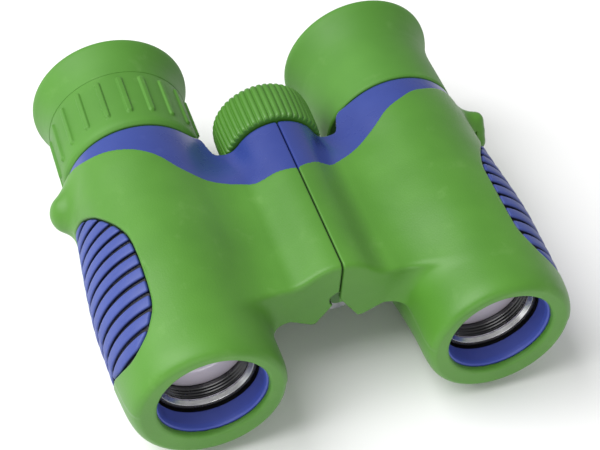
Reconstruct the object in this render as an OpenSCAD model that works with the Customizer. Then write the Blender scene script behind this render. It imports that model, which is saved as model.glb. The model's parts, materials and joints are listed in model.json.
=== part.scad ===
// Handheld children's binoculars, 6 x 21 class, with a central folding hinge.
// Lengths in millimetres. Every module is drawn on stations: Y is the distance
// behind the objective lip, X the distance from the hinge plane and Z the height
// above the optical axes. place() then moves the whole model to its own origin,
// under the middle of the instrument. "left" and "right" are the user's: the left
// barrel is on +X, the right barrel, with the dioptre ring, on -X.

/* [Layout] */
// Distance between the two optical axes, unfolded
eye_spacing = 72.4; // [72:0.1:73]
// Length from the objective lip to the eyecup rim
overall_length = 107; // [107:0.1:107.6]
// Height of the optical axes over the surface it lies on
axis_height = 23.14; // [23.14:0.02:23.2]
// Height of the hinge axis over the optical axes
hinge_rise = 4.8; // [4.7:0.05:4.9]

/* [Body] */
// Drop of the barrel's outside below the optical axis
barrel_drop = 2.2; // [2.1:0.05:2.2]
// Radius of the rounded hinge housing
hinge_housing_r = 12; // [11.9:0.05:12.1]
// Thickness of the rubber armour
armour_t = 2; // [1.9:0.05:2.1]
// Width of the gap between the two halves on the hinge plane
hinge_gap = 0.3; // [0.3:0.02:0.4]
// Station of the bridge's front face
bridge_front = 17.5; // [17.4:0.05:17.6]
// Station of the hinge housing's rear edge
bridge_rear = 70; // [69.9:0.05:70.1]
// Size of the fillet between bridge and barrel
bridge_fillet = 6; // [5:0.25:7]

/* [Optics] */
// Free radius of the objective lens
objective_r = 10.5; // [10.4:0.05:10.5]
// Free radius of the opening in the armour's front lip
lip_r = 13.5; // [13.4:0.05:13.6]
// Bore radius of the front ring
front_ring_r = 12.8; // [12.7:0.05:12.9]
// Bore radius of the chassis tube
tube_r = 13.2; // [13.2:0.01:13.22]
// Outer radius of the chassis tube
tube_outer_r = 15.4; // [15.3:0.05:15.4]

/* [Eyecups] */
// Largest radius of the eyecup flare
eyecup_r = 21.5; // [21.4:0.05:21.6]
// Radius of the plain part of the eyecup
eyecup_neck_r = 18.5; // [18.4:0.05:18.6]
// Radius of the dioptre ring between its ribs
diopter_r = 19.1; // [19:0.05:19.2]
// Number of ribs on the dioptre ring
diopter_ribs = 20; // [16:1:24]

/* [Focus] */
// Radius of the focus wheel between its ribs
wheel_r = 13.1; // [13:0.05:13.2]
// Number of ribs on the focus wheel
wheel_ribs = 48; // [40:1:52]
// Radius of the focus screw's journal
screw_r = 2.45; // [2.44:0.005:2.46]
// Radius of the front hinge pin
hinge_pin_r = 3; // [2.99:0.005:3.01]

/* [Hidden] */

LEFT = 1;
RIGHT = -1;
green = "#4f9a3c";
blue = "#3c47a6";
black = "#1a1a1c";
steel = "#a9abae";
brass = "#b89a55";
glass = "#b9c4d6";

cx = eye_spacing / 2;
hz = hinge_rise;
half_gap = hinge_gap / 2;
past_split = 1; // the skins run this far past the split before they are cut back

// ---- the outside of one half, as a distance: below zero is inside ----

// station, radius of the barrel's outside
barrel_profile = [
    [0, 17.2], [1, 18.2], [2.5, 18.8], [5, 19.2], [10, 19.5], [20, 20.1], [30, 20.8],
    [40, 20.7], [50, 20.1], [58, 19.5], [66, 19.3], [72, 18.9], [77, 18.3]
];
// station, how far the outside's own centre lies outwards of the optical axis
centre_out = [[0, 0.4], [6, 0.9], [14, 1.3], [24, 1.1], [40, 0.6], [60, 0.3], [77, 0]];
// station, share of barrel_drop that applies
centre_drop = [[0, 0.7], [15, 1], [45, 1], [60, 0.6], [77, 0.25]];

// angle round the barrel from straight outwards, station of the edge between armour and band
left_wave = [
    [0, 75.9], [31, 75.4], [56, 74], [67, 73.2], [78, 71.9], [86, 71.1], [95, 69.2],
    [105, 67.2], [115, 64.3], [126, 61.9], [134, 59.7], [137.5, 58.3], [140.5, 56.8],
    [143.5, 54], [145.6, 52.6]
];
right_wave = [
    [0, 75.6], [31, 75], [45, 74.1], [57, 72.2], [70, 70.4], [79, 68.8], [88, 66.8],
    [97, 64], [105, 60.6], [112, 58.8], [122, 57.1], [132, 56.2], [137.5, 55.4],
    [140.5, 54.6], [143.5, 53.2], [145.6, 52.5]
];
function wave(which) = which == LEFT ? left_wave : right_wave;

// the same for the body's rear edge
function rear_edge(which) =
    let (s = which == LEFT ? 76.6 : 75.7)
    [[0, s], [130, s], [135, 75.4], [138.4, 71], [140.5, 70], [180, 70]];

bridge_valley_z = 11.8;  // height of the bridge's top between hinge and barrel
valley_fall = 3.5;       // how far that top has dropped at the rear edge
ridge = [5.7, -3.2];     // the lower ridge beside the hinge notch
notch_a = 34.5;          // half angle of that notch, seen from the hinge axis
notch_z = 2.1;           // height of the underside at the notch
ray_z = -8;              // height of the line the outside is measured from
belly = [12, -0.5];      // the highest line of the bridge's underside

function smooth_min(a, b, k) =
    let (h = max(k - abs(a - b), 0) / k) min(a, b) - h * h * k / 4;
function smooth_max(a, b, k) = -smooth_min(-a, -b, k);
function ease(a, b, v) = let (t = min(max((v - a) / (b - a), 0), 1)) t * t * (3 - 2 * t);

function table_slope(t, i) =
    let (a = t[max(i - 1, 0)], b = t[min(i + 1, len(t) - 1)]) (b[1] - a[1]) / (b[0] - a[0]);
// a smooth curve through the points of a table
function curve(t, v, i = 0) =
    v <= t[0][0] ? t[0][1] :
    i >= len(t) - 1 ? t[len(t) - 1][1] :
    v > t[i + 1][0] ? curve(t, v, i + 1) :
    let (
        w = t[i + 1][0] - t[i][0],
        u = (v - t[i][0]) / w,
        m0 = table_slope(t, i) * w,
        m1 = table_slope(t, i + 1) * w
    )
    (2 * u * u * u - 3 * u * u + 1) * t[i][1] + (u * u * u - 2 * u * u + u) * m0
        + (3 * u * u - 2 * u * u * u) * t[i + 1][1] + (u * u * u - u * u) * m1;

function barrel_r(s) = curve(barrel_profile, s);
function barrel_x(s) = cx + curve(centre_out, s);
function barrel_z(s) = -barrel_drop * curve(centre_drop, s);
function valley_z(s) = bridge_valley_z - valley_fall * ease(54, bridge_rear, s);
function belly_z(x) = notch_z + (belly[1] - notch_z) * min(x / belly[0], 1);

// inset shrinks the whole outside by that much
function outside(x, s, z, inset) =
    let (
        barrel = norm([x - barrel_x(s), z - barrel_z(s)]) - barrel_r(s) + inset,
        housing = norm([x, z - hz]) - hinge_housing_r + inset,
        web = z - valley_z(s) + inset,
        top = smooth_min(housing, max(web, x - cx), 3),
        crown = smooth_max(top, bridge_front + inset - s, 1.6),
        shoulder = smooth_min(barrel, crown, bridge_fillet),
        under = max(shoulder, belly_z(x) + inset - z)
    )
    max(min(barrel, under), -past_split - x);

// the outside's distance from the optical axis along a ray
function reach(a, s, inset, r = 12, n = 70) =
    n == 0 ? r :
    reach(a, s, inset, r - 0.95 * outside(cx + r * cos(a), s, ray_z + r * sin(a), inset), n - 1);

hinge_top_a = atan2(hz + hinge_housing_r - 0.1 - ray_z, -cx - past_split);
ray_angles = concat(
    [for (a = [-160 : 10 : 130]) a], [134, 136.5, 138.5, 140.5, 142, 143.2, 144.4, 145.6],
    [hinge_top_a, 151, 157, 163, 172, 180, 190]
);

// rings of one half between two edges, each edge a table or a single station
function edge_at(edge, a) = is_list(edge) ? curve(edge, abs(a > 180 ? a - 360 : a)) : edge;
function ring(from, to, u, inset) =
    [for (a = ray_angles)
        let (s = edge_at(from, a) * (1 - u) + edge_at(to, a) * u, r = reach(a, s, inset))
        [cx + r * cos(a), s, ray_z + r * sin(a)]];

// a closed solid through a list of rings
module skin(rings) {
    n = len(rings[0]);
    m = len(rings);
    sides = [for (i = [0 : m - 2], j = [0 : n - 1], k = [0, 1])
        let (a = i * n + j, b = i * n + (j + 1) % n, c = b + n, d = a + n)
        k == 0 ? [a, b, c] : [a, c, d]];
    first = [for (j = [0 : n - 1]) [m * n, (j + 1) % n, j]];
    last = [for (j = [0 : n - 1]) [m * n + 1, (m - 1) * n + j, (m - 1) * n + (j + 1) % n]];
    centre = [cx, 0, ray_z];
    points = concat([for (r = rings) each r],
        [centre + [0, rings[0][0][1], 0], centre + [0, rings[m - 1][0][1], 0]]);
    polyhedron(points, concat(sides, first, last));
}

front_stations = [17.4, 17.8, 18.6, 20.5];
function body_rings(first, to, inset) = concat(
    [for (s = first) ring(s, s, 0, inset)],
    [for (s = front_stations) ring(s + inset, s + inset, 0, inset)],
    [for (u = [0.22, 0.48, 0.74, 1]) ring(front_stations[3] + inset, to, u, inset)]
);

// ---- small helpers ----

module place() {
    translate([0, -overall_length / 2, axis_height]) children();
}
module side(which) {
    mirror([which == LEFT ? 0 : 1, 0, 0]) children();
}
// a round bar between two stations
module rod(r, from, to, x = cx, z = 0) {
    translate([x, from, z]) rotate([-90, 0, 0]) cylinder(r = r, h = to - from, $fn = 96);
}
// a turned part, its profile given as radius and station
module turned(profile, x = cx, z = 0) {
    translate([x, 0, z]) rotate([-90, 0, 0]) rotate_extrude($fn = 96) polygon(profile);
}
module block(x0, x1, s0, s1, z0, z1) {
    translate([x0, s0, z0]) cube([x1 - x0, s1 - s0, z1 - z0]);
}
// everything inside is worked out as one faceted solid
module faceted() {
    resize([0, 0, 0]) union() children();
}
// the other half's side of the split
module other_side() {
    block(-10, half_gap, -10, 120, -50, 50);
}
// a solid through sections with flat ends
module loft(rings) {
    n = len(rings[0]);
    m = len(rings);
    sides = [for (i = [0 : m - 2], j = [0 : n - 1], k = [0, 1])
        let (a = i * n + j, b = i * n + (j + 1) % n, c = b + n, d = a + n)
        k == 0 ? [a, b, c] : [a, c, d]];
    polyhedron([for (r = rings) each r], concat(sides,
        [[for (j = [n - 1 : -1 : 0]) j]], [[for (j = [0 : n - 1]) (m - 1) * n + j]]));
}

// ---- the hinge and what hangs on it ----

knuckle_r = 5.2;
hinge_hollow_r = 5.7;
pin_head_r = 6.3;
hinge_disc_r = 2.3;
bush_r = 3.9;
web = [1.8, 7.8];
left_knuckles = [[20.8, 22.8], [36, 43], [50.8, 57.8]];
right_knuckles = [[23.2, 25.2], [43.4, 50.4], [58.2, 65.2]];
arm_space = [25.2, 35.4];
fit = 0.05;

// the V-shaped space under the hinge that lets the halves fold
module notch() {
    reach_down = 16;
    w = reach_down * tan(notch_a);
    translate([0, 90, hz]) rotate([90, 0, 0]) linear_extrude(90)
        polygon([[0, 0], [w, -reach_down], [-w, -reach_down]]);
}
module hinge_hollow() {
    rod(hinge_hollow_r, bridge_front + 1.9, 67.2, 0, hz);
    rod(pin_head_r + 0.6, bridge_front + 1.9, 21.2, 0, hz);
    rod(3.6, 60, 80, 0, hz);
}
module webs(list, grow) {
    for (k = list)
        block(0, 23.6, k[0] - grow, k[1] + grow, web[0] - grow, web[1] + grow);
}

// tube: station and bore run from the front counterbore to the rear collar
chassis_profile = [
    [14.2, 1.7], [tube_outer_r, 1.7], [tube_outer_r, 92.2], [14.15, 92.2], [14.15, 64],
    [10.6, 64], [10.6, 62], [tube_r, 62], [tube_r, 7], [14.2, 7]
];

module chassis(which) {
    list = which == LEFT ? left_knuckles : right_knuckles;
    play = which == LEFT ? 0 : fit;
    color(black) side(which) difference() {
        union() {
            difference() {
                rod(tube_outer_r, 1.7, 92.2);
                rod(14.15, 63.5, 93);
            }
            webs(list, 0);
            for (k = list) rod(knuckle_r, k[0], k[1], 0, hz);
        }
        rod(14.2, 1, 7);
        rod(tube_r, 6, 62);
        rod(10.6, 61, 64);
        rod(hinge_pin_r + play, 10, 30, 0, hz);
        rod(bush_r + play, 30, 70, 0, hz);
        block(15, 30, arm_space[0], arm_space[1], hz - 2.2, hz + 2.2);
        if (which == LEFT) rod_down(0.9, 21.8);
    }
}
// an upright hole below the hinge axis
module rod_down(r, s) {
    translate([0, s, hz - 9]) cylinder(r = r, h = 8, $fn = 48);
}

// the space inside the armour: a plain barrel and the web to the hinge
module core() {
    skin([for (s = [1.7, 3.5, 6, 10, 16, 23, 30, 37, 44, 51, 58, 64, 70, 76])
        [for (a = [5 : 10 : 355])
            let (r = barrel_r(s) - armour_t)
            [barrel_x(s) + r * cos(a), s, barrel_z(s) + r * sin(a)]]]);
    along(bridge_front + armour_t, bridge_rear - 2)
        polygon(concat(
            [[-past_split, 4.2], [4.4, 1.7], [24, 1.7], [24, 8.2], [9.4, 8.2]],
            [for (a = [25 : 10 : 95]) hinge_arc(a, hinge_housing_r - armour_t)]
        ));
}
function hinge_arc(a, r) = [max(r * cos(a), -past_split), hz + r * sin(a)];
// a flat outline, X and Z, carried from one station to another
module along(from, to) {
    translate([0, to, 0]) rotate([90, 0, 0]) linear_extrude(to - from) children();
}
module lug() {
    hull() {
        for (s = [62.6, 73.8], z = [-2.6, 4.4])
            translate([cx + 16, s, z]) sphere(r = 1.8, $fn = 16);
        for (s = [66, 69.8], z = [-1.6, 2.6])
            translate([cx + 21.9, s, z]) sphere(r = 2.1, $fn = 16);
    }
}
module strap_slot() {
    block(cx + 19.2, cx + 21.4, 50, 85, -2.5, 4.5);
}
// the bridge's underside, with a ridge on either side of the hinge notch
module underside(grow = 0) {
    along(bridge_front, bridge_rear - 3 + grow)
        polygon([
            [-past_split, 4.3 + grow], [-past_split, notch_z - grow], ridge - [0.9, grow],
            ridge - [-1, grow], belly - [0, grow], [19, belly[1] - grow],
            [19, 1.8 + grow], [12, 1.8 + grow]
        ]);
}

module body_shell(which) {
    color(blue) side(which) faceted() difference() {
        union() {
            core();
            skin([for (u = [0, 0.5, 1]) ring(wave(which), rear_edge(which), u, 0)]);
        }
        rod(tube_outer_r + 0.05, -1, 90);
        other_side();
        hinge_hollow();
        notch();
        webs(which == LEFT ? left_knuckles : right_knuckles, 0.05);
        rod(14.2, bridge_rear + 0.05, 80, 0, hz);
        block(2, 30, arm_space[0], arm_space[1], hz - 2.2, hz + 2.2);
        lug();
        difference() {
            underside();
            core();
        }
    }
}

module armour(which) {
    color(green) side(which) faceted() {
        armour_half(which);
        // the left half's front wall carries the disc that closes the hinge
        if (which == LEFT) difference() {
            rod(hinge_disc_r, bridge_front, bridge_front + 1.9, 0, hz);
            block(-half_gap, half_gap, 10, bridge_front + 0.6, 0, 20);
        }
    }
}
module armour_half(which) {
    difference() {
        union() {
            skin(body_rings([0, 0.4, 1.2, 2.6, 6, 12, 16.4], wave(which), 0));
            lug();
            underside();
        }
        core();
        rod(lip_r, -1, 8);
        rod(tube_outer_r + 0.05, 1.7, 90);
        other_side();
        hinge_hollow();
        notch();
        grip_space(0);
        strap_slot();
        if (which == RIGHT) rod(hinge_disc_r + 0.1, 10, 30, 0, hz);
    }
}
// ---- the grips ----

// angle above straight outwards, station of the grip's front and rear edge
grip_front = [
    [-66, 28], [-55, 23], [-35, 18.5], [-20, 15.5], [0, 13], [18, 10.4], [35, 9.4],
    [50, 11.9], [57, 15], [63, 20], [65.5, 27]
];
grip_rear = [
    [-66, 33], [-58, 42], [-45, 49], [-30, 54], [0, 59], [24, 57.6], [39, 53.9],
    [49, 49.6], [57, 45], [63, 39], [65.5, 31]
];
module grip_space(gap) {
    loft([for (a = [-66, -63, -58, -50, -38, -25, -12, 0, 12, 25, 36, 46, 54, 60, 63.5, 65.5])
        let (
            b = a * (1 - gap / 24),
            s0 = curve(grip_front, a) + gap,
            s1 = curve(grip_rear, a) - gap
        )
        [for (p = [[13, s0], [13, s1], [30, s1], [30, s0]])
            [cx + 0.5 + p[0] * cos(b), p[1], -barrel_drop + p[0] * sin(b)]]]);
}
module grip(which) {
    pitch = 4.2;
    color(blue) side(which) faceted() difference() {
        intersection() {
            skin([for (s = [8, 14, 20.5, 30, 40, 50, 60]) ring(s, s, 0, 0.15)]);
            grip_space(0.15);
        }
        core();
        for (s = [14 : pitch : 56])
            translate([barrel_x(s), s, barrel_z(s)]) rotate([-90, 0, 0])
                rotate_extrude($fn = 56)
                translate([barrel_r(s) - 0.75, 0]) square([3, 1]);
    }
}

// ---- objective end ----

module front_ring(which) {
    color(blue) side(which) turned([
        [13.2, 1.7], [14.15, 1.7], [14.15, 6.9], [front_ring_r, 6.9], [front_ring_r, 3], [13, 1.9]
    ]);
}
module objective_cell(which) {
    color(black) side(which) difference() {
        turned(concat([
                [12.5, 7.6], [12.5, 9.4], [tube_r - fit, 9.4], [tube_r - fit, 34.3],
                [11.4, 34.3], [11.4, 18.4], [11.25, 18.4], [11.25, 13.3]
            ],
            // fine steps that catch stray light
            [for (i = [6 : -1 : 0], k = [1, 0])
                [objective_r + 0.42 * k + 0.05 * (6 - i), 9.5 + 0.53 * i + 0.25 * (1 - k)]],
            [[11.9, 9.3], [11.9, 7.6]]));
        focus_arm_bar(which);
    }
}
module lens_retainer(which) {
    color(steel) side(which) turned([
        [11.7, 7.9], [11.9, 7.9], [11.9, 9.3], [10.95, 9.3], [10.95, 8.9]
    ]);
}
// a lens face from the axis out to the rim; bulge is its depth, below zero when hollow
function face(rim, s, bulge, n = 10) = [for (i = [0 : n]) [rim * i / n, s + bulge * pow(i / n, 2)]];
function reversed(list) = [for (i = [len(list) - 1 : -1 : 0]) list[i]];
module lens(rim, front, front_depth, rear, rear_depth) {
    turned(concat(face(rim, front, front_depth), reversed(face(rim, rear, rear_depth))));
}
module crown_lens(which) {
    color(glass) side(which) lens(11.2, 12, 1.5, 16.6, -1.9);
}
module flint_lens(which) {
    color(glass) side(which) lens(11.2, 16.6, -1.9, 18.3, 0);
}

// ---- prisms ----

module prism_holder(which) {
    color(black) side(which) difference() {
        rod(tube_r - 0.05, 35, 61.9);
        block(cx - 8, cx + 8, 37, 60, -9.5, 9.5);
        rod(8.4, 30, 62.5);
        rod(12.6, 34, 36.2);
    }
}
module prism_outline(profile) {
    translate([cx + 7.6, 0, 0]) rotate([90, 0, -90]) linear_extrude(15.2)
        polygon([for (p = profile) [-p[0], p[1]]]);
}
module entry_prism(which) {
    color(glass) side(which)
        prism_outline([[37.2, 8], [37.2, -6], [40, -9], [52, -9], [43, 8]]);
}
module roof_prism(which) {
    color(glass) side(which) intersection() {
        prism_outline([[43.8, 9.4], [53, -9], [57.4, -9], [59.8, -6], [59.8, 9.4]]);
        translate([cx, 70, 0]) rotate([90, 0, 0]) linear_extrude(40)
            polygon([[-7.5, -9.2], [7.5, -9.2], [7.5, 2], [0, 9.3], [-7.5, 2]]);
    }
}
module prism_clip(which) {
    color(steel) side(which) difference() {
        rod(12.5, 35.2, 36.1);
        rod(8.2, 34, 37);
        block(cx - 14, cx - 9, 34, 37, -2, 2);
    }
}

// ---- eyepieces ----

module eyepiece_tube(which) {
    color(black) side(which) turned([
        [11, 66], [14.1, 66], [14.1, 94.5], [16.6, 94.5], [16.6, 97], [12.05, 97],
        [12.05, 88], [11, 88]
    ]);
}
module field_stop(which) {
    color(black) side(which) turned([[7.5, 80], [10.95, 80], [10.95, 81.2], [8, 81.2]]);
}
module field_lens(which) {
    color(glass) side(which) lens(10.95, 68.4, 0.6, 72.8, -2.4);
}
module eye_lens(which) {
    color(glass) side(which) lens(12, 88.2, 2, 94.2, -2.6);
}
module eye_lens_ring(which) {
    color(black) side(which) turned([[10.8, 94.4], [12, 94.4], [12, 96.4], [11.4, 96.4]]);
}
// the cup behind the flange, common to both sides
function cup_inside() = [
    [eyecup_r - 0.9, overall_length], [eyecup_r - 2.1, overall_length], [17.6, 105],
    [15.4, 101], [13.6, 98.6], [12.6, 98.2], [12.6, 97.05], [16.65, 97.05]
];
module eyecup(which) {
    color(green) side(which)
        if (which == LEFT)
            turned(concat([
                [tube_outer_r + fit, 76.8], [18.1, 76.8], [eyecup_neck_r, 77.4],
                [eyecup_neck_r, 94], [18.9, 97], [19.7, 100], [20.7, 102.6],
                [eyecup_r, 104.6], [eyecup_r, 106.2]
            ], cup_inside(), [[16.65, 94.3], [tube_outer_r + fit, 94.3]]));
        else
            turned(concat([
                [16.65, 93.9], [17.4, 93.9], [17.4, 97.4], [18.95, 97.4], [18.95, 95.9],
                [19.3, 95.9], [19.3, 98.2], [19.7, 100], [20.7, 102.6], [eyecup_r, 104.6], [eyecup_r, 106.2]
            ], cup_inside()));
}
module diopter_ring() {
    depth = 0.55;
    color(green) side(RIGHT) difference() {
        union() {
            turned([[14.5, 76], [18.1, 76], [18.9, 77], [18.9, 96.4], [14.5, 96.4]]);
            translate([cx, 80, 0]) rotate([-90, 0, 0]) linear_extrude(15)
                polygon([for (i = [0 : diopter_ribs - 1], k = [0 : 5])
                    let (
                        a = 360 * (i + [-0.3, -0.2, -0.1, 0.1, 0.2, 0.3][k]) / diopter_ribs,
                        r = diopter_r + [0, 0.7, 1, 1, 0.7, 0][k] * depth
                    )
                    r * [cos(a), sin(a)]]);
        }
        rod(tube_outer_r + fit, 70, 100);
        rod(17.8, 92.7, 98);
    }
}

// ---- hinge and focus ----

module hinge_pin() {
    color(steel) difference() {
        turned([[0, 19.7], [pin_head_r - 0.3, 19.7], [pin_head_r, 20], [pin_head_r, 20.7],
            [hinge_pin_r, 20.7],
            [hinge_pin_r, 25.2], [0, 25.2]], 0, hz);
        rod_down(0.9, 21.8);
    }
}
module hinge_pin_screw() {
    color(steel) difference() {
        translate([0, 21.8, hz - 5.1]) cylinder(r = 0.88, h = 4, $fn = 48);
        translate([-0.2, 20, hz - 5.6]) cube([0.4, 4, 1]);
    }
}
module hinge_bush() {
    color(black) turned([[screw_r + fit, 36], [bush_r, 36], [bush_r, 67.1], [3.2, 67.1],
        [3.2, 70.3], [8.5, 70.3], [8.5, 73.2], [screw_r + fit, 73.2]], 0, hz);
}
module focus_screw() {
    color(brass) turned([[0, 26.4], [2, 26.4], [2, 35.6], [screw_r, 35.6], [screw_r, 82],
        [0, 82]], 0, hz);
}
module focus_wheel() {
    color(green) difference() {
        intersection() {
            translate([0, 70.5, hz]) rotate([-90, 0, 0]) linear_extrude(13.6)
                polygon([for (i = [0 : wheel_ribs - 1], k = [0 : 3])
                    let (
                        a = 360 * (i + [-0.36, -0.16, 0.16, 0.36][k]) / wheel_ribs,
                        r = wheel_r + [-0.1, 0.46, 0.46, -0.1][k]
                    )
                    r * [cos(a), sin(a)]]);
            turned([[0, 70.5], [12.9, 70.5], [13.4, 71.5], [13.6, 74], [13.7, 78],
                [13.6, 81.5], [13.2, 83.3], [12.4, 84.1], [0, 84.1]], 0, hz);
        }
        rod(screw_r, 70, 82.05, 0, hz);
        rod(8.9, 70, 73.8, 0, hz);
        rod(2.4, 82, 90, 0, hz);
        turned([[7, 82.6], [10.6, 82.6], [10.9, 85], [7, 85]], 0, hz);
    }
}
module wheel_cap() {
    color(green) turned([[0, 82.05], [2.4, 82.05], [2.4, 84.1], [5.8, 84.1], [5.5, 85.2], [0, 85.5]],
        0, hz);
}

arm_s = [28.3, 31.4]; // stations of the left and the right arm's front faces
arm_t = 2.4;
module focus_nut() {
    color(brass) turned([[2.06, 27], [5.2, 27], [5.2, 28.3], [3.6, 28.3], [3.6, 34.1], [4.9, 34.1],
        [4.9, 34.9], [2.06, 34.9]], 0, hz);
}
module focus_arm_bar(which) {
    s = arm_s[which == LEFT ? 0 : 1];
    block(5, 25.4, s, s + arm_t, hz - 1.8, hz + 1.8);
}
module focus_arm(which) {
    s = arm_s[which == LEFT ? 0 : 1];
    color(steel) side(which) difference() {
        union() {
            rod(5.2, s, s + arm_t, 0, hz);
            block(4, 25.4, s, s + arm_t, hz - 1.8, hz + 1.8);
        }
        rod(which == LEFT ? 3.6 : 3.6 + fit, s - 5, s + 5, 0, hz);
    }
}

// ---- the nodes ----

place() chassis(LEFT);  // left_chassis
place() chassis(RIGHT);  // right_chassis
place() body_shell(LEFT);  // left_body_shell
place() body_shell(RIGHT);  // right_body_shell
place() armour(LEFT);  // left_armour
place() armour(RIGHT);  // right_armour
place() grip(LEFT);  // left_grip
place() grip(RIGHT);  // right_grip
place() front_ring(LEFT);  // left_front_ring
place() front_ring(RIGHT);  // right_front_ring
place() prism_holder(LEFT);  // left_prism_holder
place() prism_holder(RIGHT);  // right_prism_holder
place() roof_prism(LEFT);  // left_roof_prism
place() roof_prism(RIGHT);  // right_roof_prism
place() entry_prism(LEFT);  // left_entry_prism
place() entry_prism(RIGHT);  // right_entry_prism
place() prism_clip(LEFT);  // left_prism_clip
place() prism_clip(RIGHT);  // right_prism_clip
place() eyepiece_tube(LEFT);  // left_eyepiece_tube
place() eyepiece_tube(RIGHT);  // right_eyepiece_tube
place() field_stop(LEFT);  // left_field_stop
place() field_stop(RIGHT);  // right_field_stop
place() field_lens(LEFT);  // left_field_lens
place() field_lens(RIGHT);  // right_field_lens
place() eye_lens(LEFT);  // left_eye_lens
place() eye_lens(RIGHT);  // right_eye_lens
place() eye_lens_ring(LEFT);  // left_eye_lens_ring
place() eye_lens_ring(RIGHT);  // right_eye_lens_ring
place() eyecup(LEFT);  // left_eyecup
place() eyecup(RIGHT);  // right_eyecup
place() diopter_ring();
place() hinge_pin();
place() hinge_pin_screw();
place() hinge_bush();
place() focus_wheel();
place() focus_screw();
place() wheel_cap();
place() focus_nut();
place() focus_arm(LEFT);  // left_focus_arm
place() focus_arm(RIGHT);  // right_focus_arm
place() objective_cell(LEFT);  // left_objective_cell
place() objective_cell(RIGHT);  // right_objective_cell
place() crown_lens(LEFT);  // left_crown_lens
place() crown_lens(RIGHT);  // right_crown_lens
place() flint_lens(LEFT);  // left_flint_lens
place() flint_lens(RIGHT);  // right_flint_lens
place() lens_retainer(LEFT);  // left_lens_retainer
place() lens_retainer(RIGHT);  // right_lens_retainer
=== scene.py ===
import json
import math

import bpy
import numpy as np
from mathutils import Matrix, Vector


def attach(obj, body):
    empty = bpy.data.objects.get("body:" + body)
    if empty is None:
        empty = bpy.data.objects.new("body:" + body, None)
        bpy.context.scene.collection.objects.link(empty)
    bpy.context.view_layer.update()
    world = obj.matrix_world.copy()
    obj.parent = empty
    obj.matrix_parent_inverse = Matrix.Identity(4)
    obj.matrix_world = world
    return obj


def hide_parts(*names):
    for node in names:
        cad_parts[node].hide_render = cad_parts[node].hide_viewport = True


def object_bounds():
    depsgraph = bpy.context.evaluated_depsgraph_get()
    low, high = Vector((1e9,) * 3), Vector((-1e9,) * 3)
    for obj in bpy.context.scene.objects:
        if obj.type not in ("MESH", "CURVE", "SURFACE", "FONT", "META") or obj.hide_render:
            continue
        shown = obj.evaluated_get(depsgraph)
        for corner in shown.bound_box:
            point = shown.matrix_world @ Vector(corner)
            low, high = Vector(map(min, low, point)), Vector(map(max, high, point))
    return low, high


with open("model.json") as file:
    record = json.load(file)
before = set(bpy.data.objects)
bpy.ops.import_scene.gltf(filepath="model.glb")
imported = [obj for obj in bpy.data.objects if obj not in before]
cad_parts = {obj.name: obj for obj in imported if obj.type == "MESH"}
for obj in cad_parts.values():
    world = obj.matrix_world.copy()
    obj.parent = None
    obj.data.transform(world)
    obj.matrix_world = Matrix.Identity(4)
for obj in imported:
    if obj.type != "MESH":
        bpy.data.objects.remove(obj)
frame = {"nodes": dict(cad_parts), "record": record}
cad_low, cad_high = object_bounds()

# Lengths below are in millimetres and on stations, as in the CAD source: s is the
# distance behind the objective lip, x the distance from the hinge plane (each half is
# made on the +X side and mirrored for the other), z the height over the optical axes.
CX = 1000 * frame["record"]["mounts"][0]["pos_m"][0]
AXIS_Z = 1000 * frame["record"]["mounts"][0]["pos_m"][2]
LENGTH = 1000 * (cad_high[1] - cad_low[1])
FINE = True
CELL = 0.42 if FINE else 0.9

# ---------------------------------------------------------------- the outside as a field

HINGE_Z = 4.8
HOUSING_R = 12
BRIDGE_FRONT = 17.5
BRIDGE_REAR = 70
HALF_GAP = 0.15
ARMOUR_T = 2
TUBE_R = 15.45
LIP_R = 13.5
DROP = 2.2
HINGE_HOLLOW_R = 5.75
PIN_HEAD_ROOM_R = 6.9
SCREW_ROOM_R = 3.6
HINGE_DISC_R = 2.25
WHEEL_ROOM_R = 14.2


def curve(table):
    """A smooth function through the points of a table, sampled once."""
    t = np.array(table, float)
    n = len(t)

    def slope(k):
        a, b = np.clip(k - 1, 0, n - 1), np.clip(k + 1, 0, n - 1)
        return (t[b, 1] - t[a, 1]) / (t[b, 0] - t[a, 0])

    v = np.linspace(t[0, 0], t[-1, 0], 1200)
    i = np.clip(np.searchsorted(t[:, 0], v, side="right") - 1, 0, n - 2)
    w = t[i + 1, 0] - t[i, 0]
    u = (v - t[i, 0]) / w
    m0, m1 = slope(i) * w, slope(i + 1) * w
    y = (
        (2 * u**3 - 3 * u * u + 1) * t[i, 1]
        + (u**3 - 2 * u * u + u) * m0
        + (3 * u * u - 2 * u**3) * t[i + 1, 1]
        + (u**3 - u * u) * m1
    )
    return lambda q: np.interp(q, v, y)


barrel_r = curve([
    (0, 17.2), (1, 18.2), (2.5, 18.8), (5, 19.2), (10, 19.5), (20, 20.1), (30, 20.8),
    (40, 20.7), (50, 20.1), (58, 19.5), (66, 19.3), (72, 18.9), (77, 18.3),
])
centre_out = curve([(0, 0.4), (6, 0.9), (14, 1.3), (24, 1.1), (40, 0.6), (60, 0.3), (77, 0)])
centre_drop = curve([(0, 0.7), (15, 1), (45, 1), (60, 0.6), (77, 0.25)])
wave = {
    "left": curve([
        (0, 75.9), (31, 75.4), (56, 74), (67, 73.2), (78, 71.9), (86, 71.1), (95, 69.2),
        (105, 67.2), (115, 64.3), (126, 61.9), (134, 59.7), (137.5, 58.3), (140.5, 56.8),
        (143.5, 54), (145.6, 52.6),
    ]),
    "right": curve([
        (0, 75.6), (31, 75), (45, 74.1), (57, 72.2), (70, 70.4), (79, 68.8), (88, 66.8),
        (97, 64), (105, 60.6), (112, 58.8), (122, 57.1), (132, 56.2), (137.5, 55.4),
        (140.5, 54.6), (143.5, 53.2), (145.6, 52.5),
    ]),
}
rear_edge = {
    side: curve([(0, s), (130, s), (135, 75.4), (138.4, 71), (140.5, 70), (180, 70)])
    for side, s in (("left", 76.6), ("right", 75.7))
}
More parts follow.
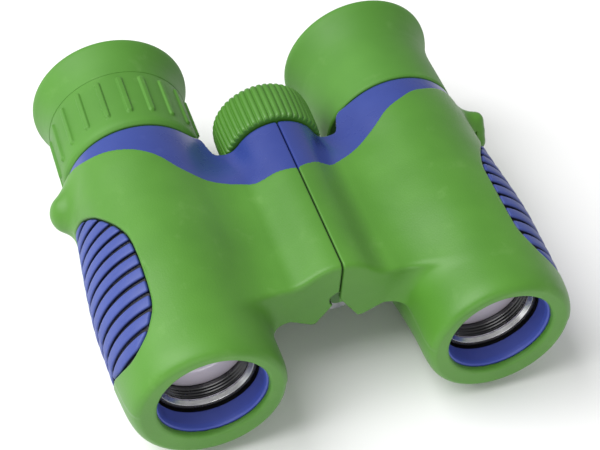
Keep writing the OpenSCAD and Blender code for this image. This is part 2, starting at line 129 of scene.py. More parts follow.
grip_front = curve([
    (-66, 28), (-55, 23), (-35, 18.5), (-20, 15.5), (0, 13), (18, 10.4), (35, 9.4),
    (50, 11.9), (57, 15), (63, 20), (65.5, 27),
])
grip_rear = curve([
    (-66, 33), (-58, 42), (-45, 49), (-30, 54), (0, 59), (24, 57.6), (39, 53.9),
    (49, 49.6), (57, 45), (63, 39), (65.5, 31),
])


def smin(a, b, k):
    h = np.maximum(k - np.abs(a - b), 0) / k
    return np.minimum(a, b) - h * h * k / 4


def smax(a, b, k):
    return -smin(-a, -b, k)


def ease(a, b, v):
    t = np.clip((v - a) / (b - a), 0, 1)
    return t * t * (3 - 2 * t)


def barrel(x, s, z):
    return np.hypot(x - CX - centre_out(s), z + DROP * centre_drop(s)) - barrel_r(s)


def belly(x):
    """Height of the bridge's underside: the hinge notch, a ridge, then up to the barrel."""
    return np.interp(x, [0, 5.5, 6.7, 12, 20], [4.8, -3.2, -3.2, -0.5, -0.5])


def outside(x, s, z):
    """Distance from the outside of one half, below zero inside."""
    tube = barrel(x, s, z)
    housing = np.hypot(x, z - HINGE_Z) - HOUSING_R
    web = z - (11.8 - 3.5 * ease(54, BRIDGE_REAR, s))
    top = smin(housing, np.maximum(web, x - CX), 3)
    crown = smax(top, BRIDGE_FRONT - s, 1.6)
    shoulder = smin(tube, crown, 6)
    under = smax(shoulder, belly(x) - z, 0.9)
    return smin(tube, under, 1.0)


def core(x, s, z):
    """The space inside the armour, which the body shell fills."""
    tube = np.maximum(barrel(x, s, z) + ARMOUR_T, 1.7 - s)
    housing = np.hypot(x, z - HINGE_Z) - HOUSING_R + ARMOUR_T
    web = np.maximum(np.maximum(z - 8.2, 1.7 - z), x - 24)
    bridge = np.maximum(np.minimum(np.maximum(housing, 3.4 - z), web),
                        np.maximum(BRIDGE_FRONT + ARMOUR_T - s, s - BRIDGE_REAR + 2))
    return np.minimum(tube, bridge)


def box(x, s, z, low, high):
    low, high = np.array(low, float), np.array(high, float)
    mid, half = (low + high) / 2, (high - low) / 2
    q = [np.abs(v - m) - h for v, m, h in zip((x, s, z), mid, half)]
    return np.maximum(np.maximum(q[0], q[1]), q[2])


def capsule(x, s, z, a, b, ra, rb):
    """A rounded bar between two points, its radius going from ra to rb."""
    a, b = np.array(a, float), np.array(b, float)
    d = b - a
    p = [x - a[0], s - a[1], z - a[2]]
    t = np.clip((p[0] * d[0] + p[1] * d[1] + p[2] * d[2]) / (d @ d), 0, 1)
    return np.sqrt(sum((p[i] - t * d[i]) ** 2 for i in range(3))) - ra - (rb - ra) * t


# each strap lug's tip: how far out, station and height of its upper and lower corners
LUG_TIP = {
    "left": ((22.2, 70.2, 3.2), (22.2, 67, -1.6)),
    "right": ((20.7, 68.2, 0.6), (20.8, 66.9, -1.9)),
}
LUG_TIP_R = {"left": 2.5, "right": 3.3}
LUG_FILLET = {"left": 3.2, "right": 4.5}


def lug(side, x, s, z):
    """The strap lug: a rounded fin that sweeps out of the armour."""
    upper, lower = [(CX + tip[0], tip[1], tip[2]) for tip in LUG_TIP[side]]
    between = [(a + b) / 2 for a, b in zip(upper, lower)]
    tip_r = LUG_TIP_R[side]
    low = capsule(x, s, z, (CX + 14, 65.6, -2.4), lower, 3, tip_r)
    high = capsule(x, s, z, (CX + 13.5, 72.2, 3.4), upper, 3.2, tip_r)
    mid = capsule(x, s, z, (CX + 14, 68.6, 1.2), between, 3.8, tip_r)
    return smin(smin(low, high, 2.2), mid, 1.5)


def strap_slot(side, x, s, z):
    """The slot behind the lug's rim: straight on the left, turned down on the right."""
    if side == "left":
        return box(x, s, z, (CX + 19.3, 50, -1.9), (CX + 21.3, 85, 2.4))
    back_part = box(x, s, z, (CX + 19.3, 66.8, -2.4), (CX + 21.3, 85, 1.2))
    down_part = box(x, s, z, (CX + 19.3, 66.8, -12), (CX + 21.3, 69.4, -1))
    return np.minimum(back_part, down_part)


def around(x, z):
    """Angle round the barrel from straight outwards, as the edge tables count it."""
    a = np.degrees(np.arctan2(z + 8, x - CX))
    return np.abs(np.where(a < -170, a + 360, a))


def grip_zone(x, s, z):
    """Distance from the outline of the grip, below zero inside it."""
    a = np.degrees(np.arctan2(z + DROP, x - CX - 0.5))
    arc = 21 * math.pi / 180
    front, rear = grip_front(a), grip_rear(a)
    slope_f = (grip_front(a + 1) - grip_front(a - 1)) / (2 * arc)
    slope_r = (grip_rear(a + 1) - grip_rear(a - 1)) / (2 * arc)
    f = (front - s) / np.sqrt(1 + slope_f**2)
    r = (s - rear) / np.sqrt(1 + slope_r**2)
    ends = np.maximum(a - 65.5, -66 - a) * arc
    return smax(smax(f, r, 1.5), ends, 2)


def hollows(x, s, z):
    """What both the armour and the body shell leave free for the tube and the hinge."""
    hinge = np.hypot(x, z - HINGE_Z)
    free = np.maximum(hinge - HINGE_HOLLOW_R, np.maximum(BRIDGE_FRONT + 1.9 - s, s - 67.2))
    free = np.minimum(free, np.maximum(hinge - PIN_HEAD_ROOM_R, np.maximum(19.4 - s, s - 21.2)))
    free = np.minimum(free, np.maximum(hinge - SCREW_ROOM_R, 60 - s))
    tube = np.maximum(np.hypot(x - CX, z) - TUBE_R, 1.7 - s)
    return np.minimum(free, tube)


def armour_field(side):
    def field(x, s, z):
        body = smin(outside(x, s, z), lug(side, x, s, z), LUG_FILLET[side])
        body = smax(body, -strap_slot(side, x, s, z), 0.6)
        body = smax(body, s - wave[side](around(x, z)), 0.9)
        pocket = np.maximum(grip_zone(x, s, z), -(outside(x, s, z) + 1.9))
        body = smax(body, -pocket, 1.1)
        body = smax(body, -s, 0.5)
        body = smax(body, LIP_R - np.hypot(x - CX, z), 1.1)
        body = smax(body, HALF_GAP - x, 0.5)
        if side == "left":
            disc = np.hypot(x, z - HINGE_Z) - HINGE_DISC_R
            disc = np.maximum(disc, np.abs(s - BRIDGE_FRONT - 1.3) - 0.7)
        else:
            disc = None
            body = np.maximum(body, HINGE_DISC_R + 0.2 - np.hypot(x, z - HINGE_Z))
        body = np.maximum(body, -core(x, s, z))
        body = np.maximum(body, -hollows(x, s, z))
        return body if disc is None else np.minimum(body, disc)

    return field


def shell_field(side):
    def field(x, s, z):
        a = around(x, z)
        skin = outside(x, s, z) + 0.08
        band = smax(skin, s - rear_edge[side](a), 0.9)
        band = np.maximum(band, wave[side](a) - 2.2 - s)
        inner = np.maximum(core(x, s, z) + 0.03, s - 75)
        inner = np.maximum(inner, 2.1 - s)
        body = np.minimum(band, inner)
        body = smax(body, HALF_GAP - x, 0.5)
        notch = np.maximum(z - belly(x), x - 12)
        body = np.maximum(body, -notch)
        lug_root = np.maximum(lug(side, x, s, z) - 0.1, 17 + CX - x)
        body = np.maximum(body, -lug_root)
        wheel = np.maximum(np.hypot(x, z - HINGE_Z) - WHEEL_ROOM_R, BRIDGE_REAR + 0.05 - s)
        body = smax(body, -wheel, 0.5)
        return np.maximum(body, -hollows(x, s, z))

    return field


GRIP_PITCH = 4.2
GROOVE_HALF = 0.58
GROOVE_DEPTH = 1.2
PAD_DEPTH = 1.85


def grip_phase(s):
    return np.abs((s - 14 + GRIP_PITCH / 2) % GRIP_PITCH - GRIP_PITCH / 2)


def grip_field(x, s, z):
    skin = outside(x, s, z)
    pad = skin + 0.12 + 0.22 * (1 - grip_phase(s) / (GRIP_PITCH / 2)) ** 2
    body = smax(pad, grip_zone(x, s, z) + 0.22, 0.8)
    groove = np.maximum(grip_phase(s) - GROOVE_HALF, -(skin + GROOVE_DEPTH))
    body = smax(body, -groove, 0.45)
    return np.maximum(body, -(skin + PAD_DEPTH))


# ---------------------------------------------------------------- meshes from fields

def gradient(field, v, h=0.02):
    g = np.empty_like(v)
    for i in range(3):
        d = np.zeros(3)
        d[i] = h
        a, b = v + d, v - d
        g[:, i] = (field(*a.T) - field(*b.T)) / (2 * h)
    return g


def surface(field, low, high, cell):
    """Quads over the zero of a field: one point to a grid cell, then moved onto the zero."""
    axes = [np.arange(a, b + cell, cell) for a, b in zip(low, high)]
    n = [len(a) for a in axes]
    f = np.empty(n)
    for i, x in enumerate(axes[0]):
        s, z = np.meshgrid(axes[1], axes[2], indexing="ij")
        f[i] = field(np.full_like(s, x), s, z)
    f[0], f[-1] = 1, 1
    f[:, 0], f[:, -1] = 1, 1
    f[:, :, 0], f[:, :, -1] = 1, 1
    inside = f < 0
    corners = [(i, j, k) for i in (0, 1) for j in (0, 1) for k in (0, 1)]

    def part(a, c):
        return a[c[0]:n[0] - 1 + c[0], c[1]:n[1] - 1 + c[1], c[2]:n[2] - 1 + c[2]]

    count = sum(part(inside, c).astype(np.int8) for c in corners)
    cells = np.argwhere((count > 0) & (count < 8))
    index = np.full([m - 1 for m in n], -1, np.int64)
    index[tuple(cells.T)] = np.arange(len(cells))
    total = np.zeros((len(cells), 3))
    weight = np.zeros(len(cells))
    for axis in range(3):
        for c in corners:
            if c[axis]:
                continue
            d = list(c)
            d[axis] = 1
            a = f[tuple((cells + c).T)]
            b = f[tuple((cells + d).T)]
            cross = (a < 0) != (b < 0)
            t = np.where(cross, a / np.where(cross, a - b, 1), 0)
            p = np.tile(np.array(c, float), (len(cells), 1))
            p[:, axis] += t
            total += p * cross[:, None]
            weight += cross
    v = (cells + total / weight[:, None]) * cell + np.array(low, float)

    quads = []
    for axis in range(3):
        u, w = [(1, 2), (2, 0), (0, 1)][axis]
        a = [slice(1, -1)] * 3
        b = [slice(1, -1)] * 3
        a[axis], b[axis] = slice(0, -1), slice(1, None)
        cut = inside[tuple(a)] != inside[tuple(b)]
        at = np.argwhere(cut)
        off = np.ones(3, int)
        off[axis] = 0
        at = at + off
        first = inside[tuple(at.T)]
        ring = []
        for du, dw in ((0, 0), (-1, 0), (-1, -1), (0, -1)):
            q = at.copy()
            q[:, u] += du
            q[:, w] += dw
            ring.append(index[tuple(q.T)])
        ring = np.array(ring).T
        quads.append(np.where(first[:, None], ring, ring[:, ::-1]))
    quads = np.concatenate(quads)

    # even the points out along the surface, and set them on the field's zero
    links = np.concatenate([quads[:, [0, 1]], quads[:, [1, 2]], quads[:, [2, 3]], quads[:, [3, 0]]])
    degree = np.bincount(links.ravel(), minlength=len(v))[:, None]
    for turn in range(4):
        if turn:
            mean = np.stack([
                np.bincount(links[:, 0], v[links[:, 1], i], len(v))
                + np.bincount(links[:, 1], v[links[:, 0], i], len(v)) for i in range(3)
            ], 1) / degree
            g = gradient(field, v)
            g /= np.maximum(np.linalg.norm(g, axis=1), 1e-6)[:, None]
            step = 0.6 * (mean - v)
            step -= g * np.sum(step * g, 1)[:, None]
            v = v + step
        for _ in range(3):
            g = gradient(field, v)
            size = np.maximum(np.sum(g * g, 1), 0.05)
            move = (field(*v.T) / size)[:, None] * g
            long = np.linalg.norm(move, axis=1)
            v = v - move * np.minimum(1, 0.5 * cell / np.maximum(long, 1e-9))[:, None]
    g = gradient(field, v, 0.05)
    normals = g / np.maximum(np.linalg.norm(g, axis=1), 1e-9)[:, None]
    return v, quads, normals


def to_frame(v):
    return (np.asarray(v) + [0, -LENGTH / 2, AXIS_Z]) / 1000


def build(name, v, faces, material, body, replaces, normals=None, mirror=False,
          values=None):
    """A mesh from station points, riding on its body and standing for its CAD nodes."""
    v = np.array(v, float)
    faces = np.asarray(faces)
    if mirror:
        v = v * [-1, 1, 1]
        faces = faces[:, ::-1]
        normals = None if normals is None else normals * [-1, 1, 1]
    mesh = bpy.data.meshes.new(name)
    mesh.vertices.add(len(v))
    mesh.vertices.foreach_set("co", to_frame(v).astype(np.float32).ravel())
    size = faces.shape[1]
    mesh.loops.add(faces.size)
    mesh.loops.foreach_set("vertex_index", faces.astype(np.int32).ravel())
    mesh.polygons.add(len(faces))
    mesh.polygons.foreach_set("loop_start", np.arange(0, faces.size, size, dtype=np.int32))
    mesh.polygons.foreach_set("loop_total", np.full(len(faces), size, np.int32))
    mesh.update(calc_edges=True)
    mesh.polygons.foreach_set("use_smooth", np.ones(len(faces), bool))
    for key, data in (values or {}).items():
        mesh.attributes.new(key, "FLOAT", "POINT").data.foreach_set(
            "value", np.asarray(data, np.float32))
    if normals is not None:
        mesh.normals_split_custom_set_from_vertices(normals.astype(np.float32))
    mesh.materials.append(material)
    obj = bpy.data.objects.new(name, mesh)
    bpy.context.scene.collection.objects.link(obj)
    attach(obj, body)
    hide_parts(*replaces)
    return obj


# ---------------------------------------------------------------- turned pieces

def rounded(profile, radius, closed, steps=5):
    """Profile points and normals with every corner rounded off."""
    p = np.array(profile, float)
    n = len(p)
    out, nrm = [], []

    def perp(d):
        d = d / np.linalg.norm(d)
        return np.array([-d[1], d[0]])

    for i in range(n):
        if not closed and i in (0, n - 1):
            d = p[1] - p[0] if i == 0 else p[-1] - p[-2]
            out.append(p[i])
            nrm.append(perp(d))
            continue
        a, b, c = p[i - 1], p[i], p[(i + 1) % n]
        ra, rc = np.linalg.norm(a - b), np.linalg.norm(c - b)
        r = radius[i] if isinstance(radius, (list, tuple)) else radius
        r = min(r, 0.42 * ra, 0.42 * rc)
        na, nc = perp(b - a), perp(c - b)
        if np.dot(na, nc) > 0.999:
            out.append(b)
            nrm.append((na + nc) / 2)
            continue
        p0, p1 = b + (a - b) / ra * r, b + (c - b) / rc * r
        for k in range(steps + 1):
            t = k / steps
            out.append((1 - t) ** 2 * p0 + 2 * t * (1 - t) * b + t * t * p1)
            q = (1 - t) * na + t * nc
            nrm.append(q / np.linalg.norm(q))
    return np.array(out), np.array(nrm)


def refine(p, m, longest):
    """Extra points on long straight runs of an open or closed profile."""
    out, nrm = [], []
    n = len(p)
    for i in range(n):
        out.append(p[i])
        nrm.append(m[i])
        if i == n - 1:
            break
        d = np.linalg.norm(p[i + 1] - p[i])
        k = int(d // longest)
        for j in range(1, k + 1):
            t = j / (k + 1)
            out.append(p[i] * (1 - t) + p[i + 1] * t)
            q = m[i] * (1 - t) + m[i + 1] * t
            nrm.append(q / np.linalg.norm(q))
    return np.array(out), np.array(nrm)


def turned(name, profile, material, body, replaces, x=CX, z=0.0, radius=0.2,
           closed=True, seg=160, mirror=False, swell=None, longest=3.0, turn=0.0):
    """A turned piece round an axis along Y. swell(angle, r, s) adds to its radius."""
    p, m = rounded(profile, radius, closed)
    if closed:
        p, m = np.vstack([p, p[:1]]), np.vstack([m, m[:1]])
    p, m = refine(p, m, longest)
    if closed:
        p, m = p[:-1], m[:-1]
    area = np.sum(p[:, 0] * np.roll(p[:, 1], -1) - np.roll(p[:, 0], -1) * p[:, 1])
    seg = seg if FINE else max(48, seg // 3)
    a = np.arange(seg) * 2 * math.pi / seg + turn
    rr = np.repeat(p[:, 0][:, None], seg, 1)
    ss = np.repeat(p[:, 1][:, None], seg, 1)
    aa = np.repeat(a[None], len(p), 0)
    if swell is not None:
        rr = rr + swell(aa, rr, ss, m[:, 0][:, None] * (-1 if area > 0 else 1))
    v = np.stack([x + rr * np.cos(aa), ss, z + rr * np.sin(aa)], -1).reshape(-1, 3)
    sign = -1 if area > 0 else 1
    nv = None
    if swell is None:
        nv = np.stack([m[:, 0][:, None] * np.cos(aa), np.repeat(m[:, 1][:, None], seg, 1),
                       m[:, 0][:, None] * np.sin(aa)], -1).reshape(-1, 3) * sign
    rows = len(p)
    i = np.arange(rows if closed else rows - 1)[:, None]
    j = np.arange(seg)[None]
    i2, j2 = (i + 1) % rows, (j + 1) % seg
    quads = np.stack([i * seg + j, i2 * seg + j, i2 * seg + j2, i * seg + j2], -1).reshape(-1, 4)
    if area < 0:
        quads = quads[:, ::-1]
    return build(name, v, quads, material, body, replaces, nv, mirror)


# ---------------------------------------------------------------- materials

def srgb(r, g, b):
    return tuple(((c / 255 + 0.055) / 1.055) ** 2.4 if c > 10 else c / 255 / 12.92
                 for c in (r, g, b)) + (1.0,)


class Nodes:
    """Short calls for building a material's node tree."""

    def __init__(self, name):
        self.material = bpy.data.materials.new(name)
        self.material.use_nodes = True
        self.tree = self.material.node_tree
        self.shader = self.tree.nodes["Principled BSDF"]
        place = self.tree.nodes.new("ShaderNodeTexCoord")
        self.place = place.outputs["Object"]

    def new(self, kind, **settings):
        node = self.tree.nodes.new(kind)
        for key, value in settings.items():
            setattr(node, key, value)
        return node

    def link(self, a, b):
        self.tree.links.new(a, b)

    def noise(self, scale, detail=2.0, rough=0.5, place=None):
        node = self.new("ShaderNodeTexNoise")
        node.inputs["Scale"].default_value = scale
        node.inputs["Detail"].default_value = detail
        node.inputs["Roughness"].default_value = rough
        self.link(place or self.place, node.inputs["Vector"])
        return node.outputs["Fac"]

    def stretch(self, value, low, high, to_low, to_high):
        node = self.new("ShaderNodeMapRange")
        self.link(value, node.inputs["Value"])
        for key, number in (("From Min", low), ("From Max", high), ("To Min", to_low),
                            ("To Max", to_high)):
            node.inputs[key].default_value = number
        return node.outputs["Result"]

    def mix(self, factor, a, b):
        node = self.new("ShaderNodeMix", data_type="RGBA")
        if hasattr(factor, "links"):
            self.link(factor, node.inputs["Factor"])
        else:
            node.inputs["Factor"].default_value = factor
        for socket, value in ((node.inputs[6], a), (node.inputs[7], b)):
            if hasattr(value, "links"):
                self.link(value, socket)
            else:
                socket.default_value = value
        return node.outputs[2]

    def math(self, operation, a, b):
        node = self.new("ShaderNodeMath", operation=operation)
        for socket, value in zip(node.inputs, (a, b)):
            if hasattr(value, "links"):
                self.link(value, socket)
            else:
                socket.default_value = value
        return node.outputs[0]

    def attribute(self, name):
        return self.new("ShaderNodeAttribute", attribute_name=name).outputs["Fac"]

    def bump(self, height, distance, strength=1.0, before=None):
        node = self.new("ShaderNodeBump")
        node.inputs["Distance"].default_value = distance
        node.inputs["Strength"].default_value = strength
        self.link(height, node.inputs["Height"])
        if before is not None:
            self.link(before, node.inputs["Normal"])
        return node.outputs["Normal"]

    def set(self, **values):
        for key, value in values.items():
            socket = self.shader.inputs[key.replace("_", " ")]
            if hasattr(value, "links"):
                self.link(value, socket)
            else:
                socket.default_value = value


def moulded(name, light, dark, rough, grain, depth, dust=None, attribute=None, painted_shade_colour=None,
            **extra):
    """A moulded skin: cloudy colour, fine grain, wear that follows small patches, and painted shade
    mixed in by a mesh attribute.
    """
    m = Nodes(name)
    cloud = m.noise(38, 3, 0.55)
    patch = m.noise(160, 4, 0.6)
    speck = m.noise(2600, 2, 0.6)
    colour = m.mix(m.stretch(cloud, 0.35, 0.68, 0, 1), dark, light)
    colour = m.mix(m.stretch(speck, 0.45, 0.75, 0, 0.10), colour, dark)
    if dust is not None:
        colour = m.mix(m.stretch(patch, 0.60, 0.80, 0, 0.10), colour, dust)
    # painted shade: the attribute darkens the colour towards the given dark colour in recesses and
    # grooves
    if attribute:
        colour = m.mix(m.attribute(attribute), colour, painted_shade_colour)
    m.set(Base_Color=colour)
    low, high = rough
    m.set(Roughness=m.stretch(m.math("ADD", m.math("MULTIPLY", cloud, 0.6),
                                     m.math("MULTIPLY", patch, 0.4)), 0.3, 0.7, low, high))
    fine = m.bump(m.noise(grain, 3, 0.6), depth)
    m.set(Normal=m.bump(patch, 0.00003, 0.6, fine))
    m.set(**extra)
    return m.material


GREEN = srgb(80, 136, 42), srgb(71, 125, 36)
# painted shade: the seam attribute darkens recesses and the split line towards srgb(38, 80, 22)
armour_green = moulded("soft_green_rubber", *GREEN, (0.40, 0.50), 2400, 0.00004,
                       dust=srgb(150, 190, 120), attribute="seam", painted_shade_colour=srgb(38, 80, 22),
                       Sheen_Weight=0.05, Sheen_Roughness=0.5, Specular_IOR_Level=0.42)
cup_green = moulded("eyecup_green_rubber", srgb(78, 134, 43), srgb(70, 124, 37), (0.52, 0.64),
                    2800, 0.00003, dust=srgb(150, 190, 120), Sheen_Weight=0.05,
                    Specular_IOR_Level=0.4)
wheel_green = moulded("wheel_green_plastic", srgb(78, 134, 42), srgb(68, 121, 36), (0.34, 0.46),
                      1800, 0.00002)
shell_blue = moulded("blue_plastic", srgb(53, 70, 142), srgb(46, 61, 131), (0.24, 0.34),
                     1500, 0.000015, dust=srgb(110, 122, 200))
ring_blue = moulded("front_ring_blue", srgb(70, 88, 176), srgb(62, 78, 164), (0.32, 0.45),
                    1500, 0.000015)
# painted shade: the groove attribute darkens the grip's groove bottoms to near-black srgb(6, 8, 26)
grip_blue = moulded("blue_grip_rubber", srgb(61, 78, 150), srgb(53, 68, 138), (0.42, 0.55),
                    2600, 0.00003, dust=srgb(120, 132, 205), attribute="groove",
                    painted_shade_colour=srgb(6, 8, 26), Specular_IOR_Level=0.42)
black = moulded("black_plastic", srgb(30, 30, 31), srgb(20, 20, 22), (0.35, 0.5), 1500, 0.00002)
inner_black = moulded("black_paint", srgb(34, 34, 36), srgb(22, 22, 24), (0.22, 0.32), 1500,
                      0.00001, Specular_IOR_Level=0.9)


def metal(name, light, dark, low, high, scale):
    """A turned or brushed metal: fine streaks round the piece, and cloudy roughness."""
    m = Nodes(name)
    squeeze = m.new("ShaderNodeMapping")
    squeeze.inputs["Scale"].default_value = (1, 14, 1)
    m.link(m.place, squeeze.inputs["Vector"])
    streak = m.noise(scale, 4, 0.6, squeeze.outputs["Vector"])
    cloud = m.noise(120, 3)
    m.set(Base_Color=m.mix(m.stretch(streak, 0.35, 0.65, 0, 1), dark, light), Metallic=1.0)
    m.set(Roughness=m.stretch(cloud, 0.3, 0.7, low, high))
    m.set(Normal=m.bump(streak, 0.00001, 0.7))
    return m.material


silver = metal("turned_aluminium", srgb(222, 222, 222), srgb(190, 190, 192), 0.18, 0.34, 500)
steel = metal("zinc_steel", srgb(150, 152, 154), srgb(112, 114, 118), 0.28, 0.45, 400)
brass = metal("brass", srgb(206, 170, 98), srgb(170, 132, 66), 0.22, 0.38, 400)


def glass(name, tint, edge, mirror):
    """Coated glass that looks back at the room, with a faint cloud of coating colour."""
    m = Nodes(name)
    cloud = m.noise(60, 2)
    m.set(Base_Color=m.mix(m.stretch(cloud, 0.3, 0.7, 0, 1), tint, edge))
    m.set(Metallic=mirror, Coat_Weight=1.0, Coat_Roughness=0.02)
    m.set(Roughness=m.stretch(m.noise(200, 3), 0.3, 0.7, 0.07, 0.12))
    return m.material


coated = glass("coated_glass", srgb(232, 222, 234), srgb(218, 212, 224), 0.15)
prism_glass = glass("prism_glass", srgb(150, 158, 166), srgb(132, 140, 150), 0.8)

BY_SLOT = {
    "green_armour": armour_green, "green_eyecup": cup_green, "green_control": wheel_green,
    "blue_shell": shell_blue, "blue_grip": grip_blue, "optical_glass": prism_glass,
    "brass": brass, "bright_ring": silver, "steel": steel, "black_plastic": black,
}
for part in frame["record"]["subparts"]:
    mesh = frame["nodes"][part["node"]].data
    mesh.materials.clear()
    mesh.materials.append(BY_SLOT[part["material_slot"]])

# ---------------------------------------------------------------- the two halves

HALF = {"left": "left_half", "right": "right_half"}


def painted_seam_shade(v):
    """How close each point is to a seam or recess, from 0 to 1: there the rubber gets painted shade,
    darkest where the skin sinks below the outside and along the split.
    """
    x, s, z = v.T
    skin = outside(x, s, z)
    depth = np.clip((-skin - 0.25) / 0.5, 0, 1)
    split = np.clip(1 - (x - HALF_GAP) / 0.12, 0, 1)
    return np.clip(0.85 * np.maximum(depth, split), 0, 1) * (s > 2.5)


for side in ("left", "right"):
    mirror = side == "right"
    body = HALF[side]
    field = armour_field(side)
    v, q, nv = surface(field, (-3, -1, -25), (62, 78, 20), CELL)
    # the seam values paint shade into the recesses and along the split between the halves
    build(f"{side}_armour_skin", v, q, armour_green, body,
          [f"{side}_armour"], nv, mirror, {"seam": painted_seam_shade(v)})
    field = shell_field(side)
    v, q, nv = surface(field, (-1, 1, -24), (60, 78, 19), CELL)
    build(f"{side}_body_casing", v, q, shell_blue, body,
          [f"{side}_body_shell"], nv, mirror)
    v, q, nv = surface(grip_field, (CX + 3, 8, -24), (60, 61, 20), CELL * 0.8)
    x, s, z = v.T
    # painted shade: the groove bottoms, where the pad sinks below the outside, darken to near-black
    groove = np.clip((-outside(x, s, z) - 0.42) / 0.35, 0, 1)
    groove *= np.clip((1.1 - grip_phase(s)) / 0.3, 0, 1)
    build(f"{side}_grip_pad", v, q, grip_blue, body, [f"{side}_grip"], nv,
          mirror, {"groove": groove})

# ---------------------------------------------------------------- the objective ends

RIDGES = 4
RIDGE_PITCH = 0.85

for side in ("left", "right"):
    mirror = side == "right"
    cell_body = "left_focus_carriage" if side == "left" else "right_focus_carriage"
    turned(f"{side}_front_ring_turned", [
        (13.25, 1.75), (14.15, 1.75), (14.15, 6.9), (12.8, 6.9), (12.8, 3.1), (13.0, 2.1)
    ], ring_blue, HALF[side], [f"{side}_front_ring"], radius=0.3, mirror=mirror)
    ridges = []
    for i in range(RIDGES - 1, -1, -1):
        ridges += [(11.25, 9.9 + RIDGE_PITCH * i), (10.6, 9.55 + RIDGE_PITCH * i)]
    turned(f"{side}_objective_cell_turned", [
        (12.5, 7.6), (12.5, 9.4), (13.15, 9.4), (13.15, 34.3), (11.4, 34.3), (11.4, 18.4),
        (11.25, 18.4), (11.25, 13.3), *ridges, (11.9, 9.3), (11.9, 7.6)
    ], inner_black, cell_body, [f"{side}_objective_cell"], radius=0.12,
        mirror=mirror)
    turned(f"{side}_lens_retainer_turned", [
        (11.7, 7.9), (11.9, 7.9), (11.9, 9.3), (10.95, 9.3), (10.95, 8.9)
    ], silver, cell_body, [f"{side}_lens_retainer"], radius=0.12, mirror=mirror)
    front = [(11.2 * i / 24, 12 + 1.5 * (i / 24) ** 2) for i in range(25)]
    back = [(11.2 * i / 24, 16.6 - 1.9 * (i / 24) ** 2) for i in range(24, -1, -1)]
    turned(f"{side}_crown_lens_ground", front + back, coated, cell_body,
           [f"{side}_crown_lens"], radius=0.15, closed=False, mirror=mirror)

# ---------------------------------------------------------------- the eyepiece ends

cup_inside = [
    (20.6, 107), (19.4, 107), (17.6, 105), (16.4, 103), (15.4, 101), (14.4, 99.7),
    (13.6, 98.8), (12.6, 98.3), (12.6, 97.05), (16.65, 97.05)
]
turned("left_eyecup_moulded", [
    (15.5, 76.8), (18.1, 76.8), (18.45, 77.3), (18.5, 84), (18.5, 91), (18.62, 94),
    (18.95, 97), (19.4, 99), (19.95, 101), (20.6, 102.8), (21.2, 104.2), (21.5, 105.2),
    (21.5, 106.3)
] + cup_inside + [(16.65, 94.3), (15.5, 94.3)], cup_green, "left_half",
    ["left_eyecup"], radius=0.9, seg=224, longest=1.2)
turned("right_eyecup_moulded", [
    (16.65, 93.9), (17.4, 93.9), (17.4, 97.4), (18.92, 97.4), (18.92, 95.9), (19.0, 95.9),
    (19.2, 97.4), (19.45, 99), (19.95, 101), (20.6, 102.8), (21.2, 104.2), (21.5, 105.2),
    (21.5, 106.3)
] + cup_inside, cup_green, "right_eyepiece", ["right_eyecup"],
    radius=[0.3] * 5 + [0.25] + [0.7] * 17, seg=224, longest=1.2, mirror=True)

RIBS = 20
RIB_FRONT = 81
RIB_REAR = 93.2
RIB_HALF_WIDTH = 0.85
RIB_HEIGHT = 0.62


def ring_ribs(a, r, s, out):
    """Slim raised ribs with round ends on the outside of the dioptre ring."""
    pitch = 2 * math.pi / RIBS
    arc = ((a / pitch + 0.5) % 1 - 0.5) * pitch * 19
    past = np.maximum(np.maximum(RIB_FRONT - s, s - RIB_REAR), 0)
    d = np.hypot(arc, past)
    height = np.sqrt(np.clip(1 - (d / RIB_HALF_WIDTH) ** 2, 0, 1))
    return RIB_HEIGHT * ease(0, 0.9, height) * (out > 0.8) * (r > 17)


turned("diopter_ring_moulded", [
    (15.5, 76), (18.0, 76), (18.7, 76.9), (18.9, 78), (18.9, 90), (18.9, 96.4),
    (17.8, 96.4), (17.8, 92.7), (15.5, 92.7)
], cup_green, "diopter_control", ["diopter_ring"], radius=0.35, seg=960,
    longest=0.3, mirror=True, swell=ring_ribs, turn=0.02)

for side in ("left", "right"):
    mirror = side == "right"
    body = "left_half" if side == "left" else "right_eyepiece"
    turned(f"{side}_eyepiece_tube_turned", [
        (11, 66), (13.97, 66), (13.97, 94.5), (16.6, 94.5), (16.6, 97), (12.05, 97),
        (12.05, 88), (11, 88)
    ], black, body, [f"{side}_eyepiece_tube"], radius=0.2, mirror=mirror)
    turned(f"{side}_eye_lens_ring_turned", [(10.8, 94.4), (12, 94.4), (12, 96.4), (11.4, 96.4)],
           black, body, [f"{side}_eye_lens_ring"], radius=0.15, mirror=mirror)
    front = [(12.0 * i / 24, 88.2 + 2 * (i / 24) ** 2) for i in range(25)]
    back = [(12.0 * i / 24, 94.2 - 2.6 * (i / 24) ** 2) for i in range(24, -1, -1)]
    turned(f"{side}_eye_lens_ground", front + back, coated, body,
           [f"{side}_eye_lens"], radius=0.15, closed=False, mirror=mirror)

# ---------------------------------------------------------------- the focus wheel and hinge

WHEEL_RIBS = 48
WHEEL_RIB_HEIGHT = 0.5


def wheel_ribs(a, r, s, out):
    """Close rounded ribs round the wheel, running out over its shoulders."""
    u = (a * WHEEL_RIBS / (2 * math.pi)) % 1
    rib = np.sqrt(np.clip(1 - ((u - 0.5) / 0.42) ** 2, 0, 1))
    return WHEEL_RIB_HEIGHT * (rib - 0.15) * ease(11.9, 12.7, r) * (out > 0.1)


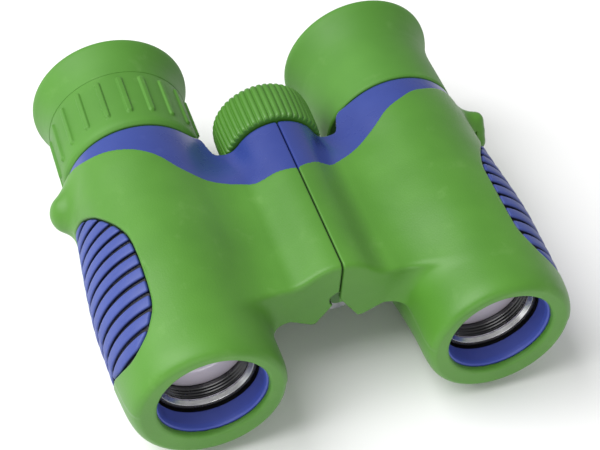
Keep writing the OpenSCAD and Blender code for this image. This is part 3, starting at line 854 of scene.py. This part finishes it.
turned("focus_wheel_ribbed", [
    (2.45, 73.8), (8.9, 73.8), (8.9, 70.5), (12.4, 70.5), (12.9, 71), (13.05, 72.5),
    (13.2, 76), (13.25, 79), (13.2, 81), (13.0, 82.7), (12.6, 83.6), (11.9, 84.1),
    (10.9, 84.1), (10.6, 82.7), (7, 82.7), (6.9, 84.1), (2.4, 84.1), (2.4, 82.0)
], wheel_green, "focus_drive", ["focus_wheel"], x=0, z=HINGE_Z, radius=0.5,
    seg=WHEEL_RIBS * 18, longest=0.4, swell=wheel_ribs)
turned("wheel_cap_moulded", [
    (0, 82.05), (2.35, 82.05), (2.4, 84.1), (5.8, 84.1), (5.5, 85.1), (3, 85.4), (0, 85.5)
], wheel_green, "focus_drive", ["wheel_cap"], x=0, z=HINGE_Z, radius=0.3,
    closed=False, seg=96)
turned("hinge_bush_turned", [
    (2.5, 36), (3.9, 36), (3.9, 67.1), (3.2, 67.1), (3.2, 70.3), (8.5, 70.3), (8.5, 73.2),
    (2.5, 73.2)
], black, "left_half", ["hinge_bush"], x=0, z=HINGE_Z, radius=0.2, seg=96)
turned("hinge_pin_turned", [
    (0, 19.7), (6.0, 19.7), (6.3, 20), (6.3, 20.7), (3, 20.7), (3, 25.2), (0, 25.2)
], steel, "left_half", ["hinge_pin"], x=0, z=HINGE_Z, radius=0.15, closed=False,
    seg=96)

# ---------------------------------------------------------------- stage, light and camera

floor_nodes = Nodes("pale_floor")
floor_nodes.set(Base_Color=floor_nodes.mix(floor_nodes.noise(3, 2), (0.90, 0.90, 0.90, 1),
                                           (0.93, 0.93, 0.93, 1)), Roughness=0.9)
mesh = bpy.data.meshes.new("floor")
FLOOR_REACH = 6.0
mesh.from_pydata([(-FLOOR_REACH, -FLOOR_REACH, 0), (FLOOR_REACH, -FLOOR_REACH, 0),
                  (FLOOR_REACH, FLOOR_REACH, 0), (-FLOOR_REACH, FLOOR_REACH, 0)], [], [(0, 1, 2, 3)])
mesh.materials.append(floor_nodes.material)
floor = bpy.data.objects.new("floor", mesh)
bpy.context.scene.collection.objects.link(floor)

world = bpy.data.worlds.new("studio")
world.use_nodes = True
world.node_tree.nodes["Background"].inputs["Color"].default_value = (1, 1, 1, 1)
world.node_tree.nodes["Background"].inputs["Strength"].default_value = 0.44
bpy.context.scene.world = world


def softbox(name, place, aim, width, height, power):
    data = bpy.data.lights.new(name, "AREA")
    data.shape, data.size, data.size_y = "RECTANGLE", width, height
    data.energy = power
    obj = bpy.data.objects.new(name, data)
    bpy.context.scene.collection.objects.link(obj)
    obj.location = place
    direction = obj.location - type(obj.location)(aim)
    obj.rotation_euler = direction.to_track_quat("Z", "Y").to_euler()
    return obj


softbox("top_light", (-0.6, 0.1, 0.8), (0, 0, 0.02), 0.9, 0.9, 14)
softbox("front_light", (-0.2, -1.1, 0.35), (0, 0, 0.02), 0.5, 0.5, 3)

camera = bpy.data.objects.new("camera", bpy.data.cameras.new("camera"))
bpy.context.scene.collection.objects.link(camera)
camera.data.sensor_width = 36
camera.data.lens = 85.44
camera.data.clip_start = 0.01
right = (0.94779, -0.31270, 0.06261)
up = (0.18682, 0.70352, 0.68568)
back = (-0.25846, -0.63818, 0.72521)
eye = to_frame((-94.76, -186.78, 266.46))
camera.matrix_world = Matrix([
    [right[i], up[i], back[i], eye[i]] for i in range(3)
] + [[0, 0, 0, 1]])
bpy.context.scene.camera = camera
bpy.context.scene.view_settings.view_transform = "Standard"
